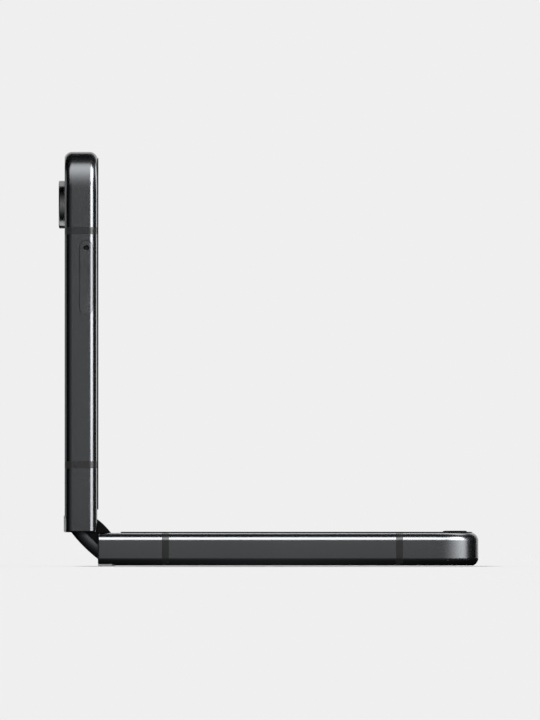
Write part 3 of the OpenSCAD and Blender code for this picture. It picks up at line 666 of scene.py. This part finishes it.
def spine_outline(inset):
    """Spine cut across, drawn in by an inset, as (across, up)."""
    shoulder_r, bulge_r = spine_round - inset, spine_bulge_r - inset
    run = [(spine_half_w - inset, spine_lip)]
    run += [(shoulder_v + shoulder_r * cos(a), shoulder_u - shoulder_r * sin(a))
            for a in angles(0, quarter - shoulder_lean, 8)]
    run += [(bulge_r * sin(a), bulge_centre - bulge_r * cos(a))
            for a in angles(shoulder_lean, 0, 8)[1:]]
    return run + [(-v, u) for v, u in run[-2::-1]]


def rolled_end(end, inset, along, steps=10):
    """Stations from the middle of the phone to a rounded end: (y, inset) with the last at the end."""
    return [(end - along * (1 - cos(a)), inset * (1 - sin(a)))
            for a in angles(quarter, 0, steps)]


roll = rolled_end(spine_end, roll_in, roll_along)
spine = as_object("spine_trough", loft(
    [[(v, side * y, u) for v, u in spine_outline(inset)]
     for side, run in ((-1, roll[::-1]), (1, roll)) for y, inset in run]))
end_wall_y = spine_end - spine_end_wall
carve(spine, block(-pocket_half, pocket_half, -end_wall_y, end_wall_y, spine_floor, 1))
open_from = end_wall_y - overlap
carve(spine, gather(*[block(-past_side, past_side, *sorted((side * open_from, side * past_end)),
                            spine_seam, 1) for side in (-1, 1)]))
seam_waste = [(spine_end + seam_play, spine_seam + seam_play), (spine_end - seam_r, spine_seam + seam_play)]
seam_waste += [(spine_end - seam_r * (1 - sin(a)), spine_seam - seam_r * (1 - cos(a)))
               for a in angles(0, quarter, 6)]
seam_waste.append((spine_end + seam_play, spine_seam - seam_r))
carve(spine, gather(*[loft([[(v, side * y, u) for y, u in seam_waste] for v in (-past_side, past_side)])
                      for side in (-1, 1)]))
spine_metal = finish("spine_metal", (0.090, 0.095, 0.101), metallic=1, rough=0.29, stretch=(1, 0.12, 1))
mount(spine, "spine", spine_metal, "spine_metal", "spine_cover")

# Fold end caps
# Matt black plastic caps that stand on the spine's ends and close the fold beside the screen.
# They are moulded and clipped on.
cap_half_w, cap_top, cap_bulge_r = 4.6, 2.17, 13.6
cap_from, cap_end, cap_soft = 33.2, 34.55, 0.22


def cap_outline(inset):
    half_cap, r = cap_half_w - inset, cap_bulge_r - inset
    lean = asin(half_cap / r)
    arc = [(r * sin(a), cap_top - cap_bulge_r + r * cos(a)) for a in angles(lean, -lean, 24)]
    return [(half_cap, spine_seam)] + arc + [(-half_cap, spine_seam)]


cap_plastic = finish("cap_plastic", (0.0062, 0.0062, 0.0066), rough=0.5, grain=0.1, relief=0.003,
                     mottle=3.0, spread=0.04, tint=0.15, specular=0.3)
cap_run = [(cap_from, 0)] + rolled_end(cap_end, cap_soft, cap_soft, 5)
caps = as_object("fold_caps", gather(*[
    loft([[(v, side * y, u) for v, u in cap_outline(inset)] for y, inset in cap_run]) for side in (-1, 1)]))
mount(caps, "spine", cap_plastic, "black_plastic", "fold_end_caps")

# Folding screen
# One flexible panel under a thin top film. A flat part is glued to each half and, near the fold, to
# the plate on the hinge arms. The bend between them is free and is drawn in one fixed shape; in the
# real phone it flattens with the fold.
screen_top, screen_t, film_play = 0.05, 0.75, 0.1
bend_t = screen_t - 0.1
screen_fold_w, screen_flat_w = 32.9, half_w - wall - film_play
film_from, widens_at = 1.4, 6.6
lets_go, holds_on = 9.0, 3.0
front_camera_window = pill(3.6, 3.6, 24)
fold_r = 1.524
tail_v, tail_drop = 3.1, 0.03
screen_glass = finish("screen_film", (0.0040, 0.0042, 0.0050), rough=0.07, grain=1.5, relief=0.0004,
                      mottle=14.0, spread=0.025, tint=0.2, coat=1.0, coat_rough=0.04)
start = [(film_from, -screen_fold_w), (holds_on, -screen_fold_w), (widens_at, -screen_fold_w),
         (widens_at, -screen_flat_w)]
film_outline = start + plan_outline(wall + film_play, lets_go) + [(l, -y) for l, y in start[::-1]]
for half in halves:
    film = as_object(half + "_screen_film", plate(film_outline, -screen_top - screen_t, -screen_top))
    if half == "upper":
        carve(film, stacked(front_camera_window, hole(2, 0.05), on_inner_face(front_camera_at, 0)))
    mount(film, half, screen_glass, "screen", half + "_display", blended=True)
    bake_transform(film)

film_up = sqrt(2) * (fold_r - fold_gap - screen_top)
tangent_v = fold_r * sqrt(0.5)


def screen_bend(depth):
    """Line across the fold at a depth in the panel: the bend, and a tail under each flat film."""
    top = film_up - (fold_r + depth) * sqrt(0.5)
    end = (tail_v + depth * sqrt(0.5), top + tail_v - tangent_v - tail_drop)
    return [end] + bend(film_up, fold_r + depth, 24) + [(-end[0], end[1])]


bend_piece = as_object("screen_fold", across_fold(
    screen_bend(0) + screen_bend(bend_t)[::-1], -screen_fold_w, screen_fold_w))
mount(bend_piece, "spine", screen_glass, "screen", "display_fold")
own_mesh(bend_piece)

# Second screen
# A small flat panel of glass, black until it is lit. It is glued behind the upper back glass, and has
# the finish of the folding screen.
dress(screen_glass, "cover_display")

# Raised rims
# A black moulded frame stuck round the screen on each half. It keeps the glass faces apart when the
# phone is shut, and its top edges are rounded.
rim_from, rim_inset, rim_h, rim_slit_to = 5.0, 1.3, 0.24, half_len - 2.1
rim_sizes = {"Rim width": 1.9, "Rim height": 0.42, "Edge radius": 0.12}


def draw_rim(tree, given):
    path = add(tree, "GeometryNodeMeshToCurve", {0: given["Geometry"]})
    upright = add(tree, "GeometryNodeSetCurveNormal", {0: path.outputs[0]}, mode="Z_UP")
    section = add(tree, "GeometryNodeCurvePrimitiveQuadrilateral", {
        "Width": given["Rim width"], "Height": given["Rim height"]})
    rounded = add(tree, "GeometryNodeFilletCurve", {
        "Curve": section.outputs[0], "Radius": given["Edge radius"], "Count": 4}, mode="POLY")
    return swept(tree, upright.outputs[0], rounded.outputs[0])


rim_plastic = finish("rim_plastic", (0.011, 0.0115, 0.012), rough=0.32, grain=0.09, relief=0.002,
                     mottle=5.0, spread=0.05, tint=0.1)
rim_path = [(l, y, rim_h - rim_sizes["Rim height"] / 2)
            for l, y in plan_outline(rim_inset + rim_sizes["Rim width"] / 2, rim_from)]
rim_edges = [(k, k + 1) for k in range(len(rim_path) - 1)]
for half in halves:
    rim = grown(half + "_rim", draw_rim, rim_sizes, rim_plastic, rim_path, rim_edges)
    if half == "upper":
        carve(rim, block(slit_from, rim_slit_to, -slit_half, slit_half, -1, 1))
    mount(rim, half, rim_plastic, "black_plastic", half + "_bezel")

# Bumpers
# Two low rubber domes across the far corners of the lower rim. They are stuck on, and meet the other
# rim when the phone shuts.
bumper_in, bumper_len, bumper_w = 4.7, 5.6, 1.5
bumper_fall = 0.6
bumper_layers = ((0.1, 0), (-0.12, 0), (-0.22, -0.05), (-0.29, -0.14), (-0.33, -0.27), (-0.35, -0.45))
rubber = finish("bumper_rubber", (0.0055, 0.0055, 0.0055), rough=0.6, grain=0.08, relief=0.003,
                mottle=1.0, spread=0.05, tint=0.15, specular=0.35)


def bumper_spot(side):
    """Spots on a bumper: along it, across it and above the rim. It is lower towards its ends."""
    def spot(u, v, depth):
        arch = 1 - bumper_fall * (2 * u / bumper_len) ** 2
        slant = sqrt(0.5)
        return (half_len - bumper_in + (u + v) * slant,
                side * (half_w - bumper_in - (u - v) * slant), rim_h - depth * arch)
    return spot


bumpers = as_object("rubber_bumpers", gather(*[
    stacked(pill(bumper_len, bumper_w), bumper_layers, bumper_spot(side)) for side in (-1, 1)]))
mount(bumpers, "lower", rubber, "rubber", "lower_bumpers")

# Back glass
# Toughened glass glued into the seat of each frame, its outer edge ground round. The lower one is
# etched to a satin grey, the upper one is glossy black over the second screen and has the camera holes.
glass_fit, hole_play = 0.05, 0.05
glass_layers = ((glass_t, 0), (0.2, 0), (0.11, 0.03), (0.04, 0.09), (0, 0.2))
camera_at = half_len - 10.85
camera_ys = (half_w - 10.85, half_w - 10.85 - 13.4)
flash_y = camera_ys[1] - 9.4
ring_r, flash_r = 5.14, 1.5
etched = finish("etched_glass", (0.030, 0.031, 0.034), rough=0.36, grain=0.11, relief=0.0015,
                mottle=12.0, spread=0.03, tint=0.06, coat=0.15, coat_rough=0.3)
glossy = finish("glossy_glass", (0.0055, 0.006, 0.007), rough=0.06, grain=1.2, relief=0.0003,
                mottle=16.0, spread=0.025, tint=0.2, coat=1.0, coat_rough=0.03)
for half, glass in (("lower", etched), ("upper", glossy)):
    pane = as_object(half + "_back_glass", loft(
        [[(l, y, -thick + depth) for l, y in plan_outline(glass_inset + glass_fit + shrink,
                                                          lip_len + glass_fit + shrink, 40)]
         for depth, shrink in glass_layers]))
    if half == "upper":
        openings = ((camera_ys[0], ring_r), (camera_ys[1], ring_r), (flash_y, flash_r))
        carve(pane, gather(*[stacked(pill(2 * (r + hole_play), 2 * (r + hole_play), 32), hole(2, 0.06),
                                     on_back(camera_at, y)) for y, r in openings]))
    mount(pane, half, glass, "back_glass", half + "_back_cover")

# Camera rings
# Turned metal rings, glued through the back glass round the two rear cameras. Their outer corner is
# softened and a polished flare leads to the lens.
ring_top, ring_low, ring_bore = 8.42, 6.46, 3.75
outer_soft, inner_soft = 0.28, 0.1
flare_r, flare_end, bore_edge = 4.24, (3.86, 8.14), 7.95


def lathe(outline, at, y, steps=96):
    """Turned solid on a half's back. Its outline is given as radii and depths below the inner face."""
    return loft([[(at + r * cos(a), y + r * sin(a), -depth) for r, depth in outline]
                 for a in angles(0, tau, steps)[:-1]], closed=True)


def turned_piece(name, outline, spots, material, slot, *nodes):
    """Turned pieces that share one outline, with an attribute for grooves that run round them."""
    made = as_object(name, gather(*[lathe(outline, at, y) for at, y in spots]))
    groove = made.data.attributes.new("groove", "FLOAT_VECTOR", "POINT")
    for vertex in made.data.vertices:
        r = min(dist(spot, vertex.co[:2]) for spot in spots)
        groove.data[vertex.index].vector = (r * MM, vertex.co.z * MM, 0)
    mount(made, "upper", material, slot, *nodes)
    return made


def corner(r, depth, radius, first, last):
    """Rounded corner of an outline about its centre, between two angles in degrees."""
    return [(r + radius * cos(a), depth + radius * sin(a))
            for a in angles(radians(first), radians(last), 5)]


camera_spots = [(camera_at, y) for y in camera_ys]
ring_metal = finish("turned_ring", (0.40, 0.405, 0.41), metallic=1, rough=0.2, grain=0.045,
                    relief=0.0012, mottle=3.0, spread=0.03, tint=0.05, along="groove")
ring_outline = [(ring_bore, ring_low), (ring_r, ring_low)]
ring_outline += corner(ring_r - outer_soft, ring_top - outer_soft, outer_soft, 0, 90)
ring_outline += corner(flare_r, ring_top - inner_soft, inner_soft, 90, 150)
ring_outline += [flare_end, (ring_bore, bore_edge)]
rings = turned_piece("turned_rings", ring_outline, camera_spots, ring_metal, "ring_metal", "camera_rings")

# Camera lenses
# A black stepped baffle in each ring with a coated glass element in its middle. They are pressed in
# from the back.
baffle_top, baffle_low, baffle_r = 8.1, 7.42, 3.74
lens_r, lens_edge, lens_rise = 1.75, 7.5, 0.34
step_in, step_up, first_step = 0.16, 0.075, 7.52
baffle_steps = [(lens_r + step_in * k + shift, first_step + step_up * k + rise)
                for k in range(6) for shift, rise in ((0.0, 0.0), (0.13, 0.015))]
turned_piece("lens_baffles", [
    (lens_r, baffle_low), (baffle_r, baffle_low), (baffle_r, baffle_top - 0.03), (3.70, baffle_top),
    (2.95, baffle_top), (2.85, baffle_top - 0.04)] + baffle_steps[::-1],
    camera_spots, moulded, "module_plastic")
lens_coating = finish("coated_lens", (0.010, 0.010, 0.028), rough=0.04, grain=0.6, relief=0.0002,
                      mottle=1.6, spread=0.015, tint=0.6, coat=1.0, coat_rough=0.02)
turned_piece("lens_elements", [(0.0, baffle_low), (lens_r, baffle_low)] + [
    (lens_r * cos(a), lens_edge + lens_rise * sin(a)) for a in angles(0, quarter, 8)],
    camera_spots, lens_coating, "lens_glass", "camera_lenses")
dress(lens_coating, "front_camera")

# Flash
# A small moulded lens of fine rings over a pale yellow lamp, flush with the back glass. It is glued
# into its hole.
flash_top, flash_low, flash_soft = 7.02, 6.0, 0.05
first_ring, ring_pitch = 0.1, 0.2
flash_rings = [(flash_r - first_ring - ring_pitch * k - step, flash_top - drop)
               for k in range(7) for step, drop in ((0.0, 0.07), (0.16, 0.0))]
flash_lens = finish("flash_lens", (0.78, 0.72, 0.50), rough=0.16, grain=0.3, mottle=1.0,
                    spread=0.05, tint=0.06, coat=0.6)
turned_piece("flash_lamp", [
    (0.0, flash_low), (flash_r, flash_low), (flash_r, flash_top - 0.04), (flash_r - flash_soft, flash_top)]
    + flash_rings + [(0.0, flash_top - 0.02)],
    [(camera_at, flash_y)], flash_lens, "lens_glass", "flash_led")

# Card tray
# An aluminium tray that slides into the upper wall. Its face follows the rounding of the wall and
# has the pin hole of its ejector, and a rubber seal sits on its neck.
tray_face, tray_face_t = pill(15.9, 2.81, 20), 1.0
pin_at, pin_hole = tray_at + 6.45, pill(1.12, 1.12)
drawer_from, drawer_to = 1.95, 16.5
blank_half, card_middle, card_r = 12, 9.6, 1
tray = as_object("card_tray", along_wall(band_outline, tray_at - blank_half, tray_at + blank_half, -1))
carve(tray, stacked(tray_face, ((-1, 0), (tray_face_t, 0)), on_side(-1, tray_at, tray_depth)), "INTERSECT")
for half_length, y0, y1, half_height in ((6.8, tray_face_t - 0.05, 2, 0.35),
                                         (7, drawer_from, drawer_to, 0.45)):
    carve(tray, block(tray_at - half_length, tray_at + half_length, -half_w + y0, -half_w + y1,
                      tray_depth - half_height, tray_depth + half_height), "UNION")


def card_pocket(size, depth0, depth1):
    """Room for a card with round corners in the drawer, between two depths below its middle."""
    corner_at = size / 2 - card_r
    outline = [(tray_at + i * corner_at + card_r * cos(a),
                -half_w + card_middle + j * corner_at + card_r * sin(a))
               for i, j, turns in ((1, 1, 0), (-1, 1, 1), (-1, -1, 2), (1, -1, 3))
               for a in angles(turns * quarter, (turns + 1) * quarter, 6)]
    return plate(outline, tray_depth + depth0, tray_depth + depth1)


carve(tray, card_pocket(12.4, -0.5, 0.2))
carve(tray, card_pocket(11, -1, 1))
carve(tray, stacked(pin_hole, hole(3.5, 0.05), on_side(-1, pin_at, tray_depth)))
tray_metal = finish("tray_metal", (0.118, 0.123, 0.129), metallic=1, rough=0.26)
mount(tray, "upper", tray_metal, "frame_metal", "sim_tray", body="sim_tray")
metal_pieces["upper"].append(tray)
dress(rubber, "sim_tray_seal")

# Keys
# Anodised volume rocker and a glass-topped side key with a fingerprint sensor. Each is a crowned bar
# in the far wall, kept in by a flange and pressing on a dome behind it.
volume_out, side_key_out = 0.28, 0.12
flange_from, flange_to, flange_grow = 2.75, 2.3, 0.45
rib_r = 0.35
key_crown = ((0.14, 0), (0.07, -0.02), (0.02, -0.07), (0, -0.16))
sensor_recess = ((0, -0.3), (0.04, -0.36))


def key_layers(out, *top):
    """Layers of a key: its flange, and a crown whose top stands out from the wall."""
    return ((flange_from, flange_grow), (flange_to, flange_grow), (flange_to, 0),
            *[(drop - out, grow) for drop, grow in key_crown + top])


rocker = as_object("volume_rocker_bar", stacked(pill(volume_len, key_h, 16), key_layers(volume_out),
                                                on_side(1, volume_at, key_depth)))
rib = [(volume_at + rib_r * cos(a), half_w - flange_from + rib_r * sin(a))
       for a in angles(0, tau, 16)]
carve(rocker, plate(rib, key_depth - key_h / 2, key_depth + key_h / 2), "UNION")
key_metal = finish("key_metal", (0.135, 0.142, 0.150), metallic=1, rough=0.25)
mount(rocker, "upper", key_metal, "frame_metal", "volume_key", body="volume_rocker")
sensor = as_object("sensor_key_bar", stacked(
    pill(side_key_len, key_h, 16), key_layers(side_key_out, *sensor_recess),
    on_side(1, side_key_at, key_depth)))
sensor_glass = finish("sensor_face", (0.012, 0.0125, 0.014), rough=0.18, grain=0.3, relief=0.0006,
                      mottle=4.0, spread=0.04, tint=0.1, coat=0.8, coat_rough=0.08)
mount(sensor, "upper", sensor_glass, "key_face", "side_key", body="side_button")

# Speaker gauze
# Fine woven steel gauze behind the five slots of the loudspeaker and behind the earpiece slit. It
# keeps dust out, and is glued in from inside.
gauze_sizes = {"Across": 7, "Along": 60, "Pitch": 0.22, "Wire radius": 0.045}
middle_slot_y, slit_middle = first_slot_y + 2 * slot_pitch, half_len - 2.0
speaker_depth, earpiece_depth = 1.3, 0.5
gauze_spots = {"lower": lambda u, v, z: on_far_end(middle_slot_y, mid_depth)(u, v, speaker_depth + z),
               "upper": lambda u, v, z: (slit_middle + v, u, z - earpiece_depth)}


def draw_gauze(tree, given):
    def wires(count, other, turned):
        """A row of straight wires: it has count of them, each as long as other pitches."""
        gap = add(tree, "ShaderNodeCombineXYZ", {"X" if turned else "Y": given["Pitch"]}).outputs[0]
        back = maths(tree, "MULTIPLY_ADD", given[count], -0.5, 0.5)
        start = add(tree, "ShaderNodeVectorMath", {0: gap, "Scale": back}, operation="SCALE")
        row = add(tree, "GeometryNodeMeshLine", {
            "Count": given[count], "Offset": gap, "Start Location": start.outputs[0]})
        length = maths(tree, "MULTIPLY", given[other], given["Pitch"])
        wire = add(tree, "GeometryNodeMeshCylinder", {
            "Vertices": 6, "Depth": length, "Radius": given["Wire radius"]})
        return add(tree, "GeometryNodeInstanceOnPoints", {
            "Points": row.outputs[0], "Instance": wire.outputs["Mesh"],
            "Rotation": (quarter, 0, 0) if turned else (0, quarter, 0)}).outputs[0]

    both = add(tree, "GeometryNodeJoinGeometry")
    for row in (wires("Across", "Along", False), wires("Along", "Across", True)):
        tree.links.new(row, both.inputs[0])
    return both.outputs[0]


gauze_steel = finish("gauze_steel", (0.16, 0.16, 0.165), metallic=1, rough=0.35, grain=0.1, tint=0.1)
for name, half, counts in (("speaker_gauze", "lower", {}),
                           ("earpiece_gauze", "upper", {"Across": 6, "Along": 46})):
    gauze = grown(name, draw_gauze, {**gauze_sizes, **counts}, gauze_steel)
    move(gauze, gauze_spots[half])
    mount(gauze, half, gauze_steel, "hinge_steel")

# Hood and cloth
# A hood of dim cloth stands round the camera, and more of it lies on the floor before the phone,
# beside it and behind it. It is seen in gloss alone, and gives the metal its dark flats and edges.
hood_radius, hood_z = 0.95, 0.045
hood_reach = 144
hood_glow, glow_within, glow_power = 0.26, 72, 3


def seen_in_gloss(made, z):
    """Gives a stage piece, drawn about its own height, the dim cloth and hides it but in gloss."""
    made.location.z = z
    made.data.materials.append(hood_cloth)
    for rays in ("camera", "diffuse", "transmission", "volume_scatter", "shadow"):
        setattr(made, "visible_" + rays, False)


hood_cloth = bpy.data.materials.new("hood_cloth")
hood_cloth.use_nodes = True
tree = hood_cloth.node_tree
tree.nodes.clear()
where = add(tree, "ShaderNodeTexCoord").outputs["Object"]
towards = add(tree, "ShaderNodeVectorMath", {0: where}, operation="NORMALIZE")
split = add(tree, "ShaderNodeSeparateXYZ", {0: towards.outputs[0]})
share = add(tree, "ShaderNodeMapRange", {
    "Value": split.outputs["Y"], "From Min": -cos(radians(glow_within)), "From Max": -1})
fall = maths(tree, "POWER", share.outputs[0], glow_power)
glow = add(tree, "ShaderNodeEmission", {"Strength": maths(tree, "MULTIPLY", fall, hood_glow)})
add(tree, "ShaderNodeOutputMaterial", {"Surface": glow.outputs[0]})

hood_points, hood_faces = loft([
    [(hood_radius * sin(a) * cos(b), -hood_radius * cos(a),
      hood_radius * sin(a) * sin(b)) for b in angles(0, tau, 48)[:-1]]
    for a in angles(radians(0.5), radians(hood_reach), 32)])
# The last two faces would cap its ends, which stay open.
seen_in_gloss(as_object("hood", (hood_points, hood_faces[:-2])), hood_z)

apron_z = 0.034
cloth = (0.00002 - apron_z, 0.00006 - apron_z)
cloth_back, cloth_side = side_y + 0.001, fold.x - 0.001
bare_from, bare_to, cloth_far = 0.012, 0.075, 0.5
slant_at, slant_far = 0.03, 0.9
seen_in_gloss(as_object("apron", gather(
    block(-hood_radius, hood_radius, -hood_radius, cloth_back, *cloth),
    block(-hood_radius, cloth_side, cloth_back, bare_from, *cloth),
    block(-hood_radius, cloth_side, bare_to, cloth_far, *cloth),
    plate([(slant_at, cloth_back), (hood_radius, cloth_back), (hood_radius, slant_far),
           (slant_at, slant_at)], *cloth))), apron_z)

# Soft boxes
# Each half has its own: a strip that draws the white line along the rounding, a short one that takes
# it round the corner, a strip behind for the thin line at the edge, and a graded box for the corner.
# The standing half has three more: for the foot of its white line, its back edge and its rings.
box_far = 0.8
strip_glow, edge_glow, back_edge_glow, ring_glow = 7.8, 2.8, 0.7, 0.62
corner_glow = {"lower": 5.35, "upper": 2.8}
corner_turn = radians(65)
grade_to, grade_bend, grade_gain, grade_power = 0.1, 2.65, 7.67, 3
to_camera = Vector((0, -1, 0))
facing = {"lower": Vector((0, 0, 1)), "upper": Vector((1, 0, 0))}
ending = {"lower": Vector((1, 0, 0)), "upper": Vector((0, 0, 1))}


def soft_box(name, up, first, last, length, radiance, lit, axis=to_camera, graded=False):
    """Strip light on an arc round the phone. It spans the angles first to last, measured from an axis
    towards the direction up, and lights the listed pieces only."""
    middle, spread = radians((first + last) / 2), radians((last - first) / 2)
    out = axis * cos(middle) + up * sin(middle)
    data = bpy.data.lights.new(name, "AREA")
    data.shape = "RECTANGLE"
    data.size = length
    data.size_y = 2 * box_far * tan(spread)
    data.energy = radiance * pi * data.size * data.size_y
    box = new_object(name, data)
    box.location = fold + out * box_far
    side = up.cross(-axis)
    box.rotation_euler = Matrix((side, out.cross(side), out)).transposed().to_euler()
    box.visible_camera = False
    box.visible_diffuse = False
    group = bpy.data.collections.new(name + "_lights")
    for piece in lit:
        group.objects.link(piece)
    box.light_linking.receiver_collection = group
    if graded:
        data.use_nodes = True
        tree = data.node_tree
        spot = add(tree, "ShaderNodeNewGeometry").outputs["Parametric"]
        down = add(tree, "ShaderNodeSeparateXYZ", {0: spot}).outputs["Y"]
        shine = add(tree, "ShaderNodeMapRange", {
            "Value": down, "To Min": 1, "To Max": grade_to}).outputs[0]
        for operation, by in (("POWER", grade_bend), ("MULTIPLY", grade_gain), ("MULTIPLY", down),
                              ("POWER", grade_power)):
            shine = maths(tree, operation, shine, by)
        feed(tree, tree.nodes["Emission"], {"Strength": shine})


for half in halves:
    lit = metal_pieces[half]
    round_corner = to_camera * cos(corner_turn) + ending[half] * sin(corner_turn)
    soft_box(half + "_strip", facing[half], 15, 45, 2.0, strip_glow, lit + [spine])
    soft_box(half + "_strip_end", facing[half], 12, 40, 0.6, strip_glow, lit, axis=round_corner)
    soft_box(half + "_edge_strip", facing[half], 106, 134, 2.0, edge_glow, lit)
    soft_box(half + "_corner_box", ending[half], 12, 104, 0.9, corner_glow[half], lit, graded=True)
soft_box("upper_strip_low", facing["upper"], 15, 45, 0.12, strip_glow, metal_pieces["upper"])
soft_box("back_edge_strip", -facing["upper"], 88, 130, 2.0, back_edge_glow, metal_pieces["upper"])
soft_box("ring_box", ending["upper"], 98, 136, 1.0, ring_glow, [rings])
